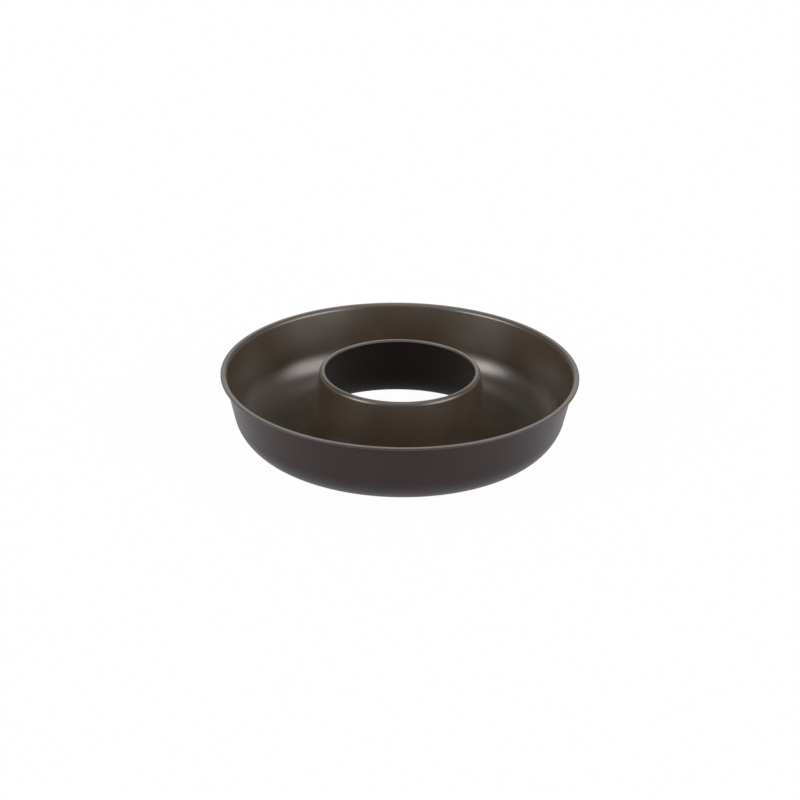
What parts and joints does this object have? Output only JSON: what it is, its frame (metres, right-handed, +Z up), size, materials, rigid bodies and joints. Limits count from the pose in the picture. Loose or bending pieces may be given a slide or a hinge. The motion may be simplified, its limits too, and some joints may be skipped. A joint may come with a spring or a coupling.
{
  "type": "savarin mould",
  "caption": "Small ring-shaped baking mould of dark non-stick sheet, with a round-bottomed trough, a flat rim and an open tube in the middle.",
  "frame": {"origin": "on the mould's axis, in the plane that it stands on", "axes": "+Z up the axis, from the foot to the mouth"},
  "size_m": [0.08, 0.08, 0.0165],
  "materials": {
    "nonstick_coating": "satin"
  },
  "bodies": {
    "root": {"savarin_mould": "nonstick_coating"}
  },
  "joints": []
}
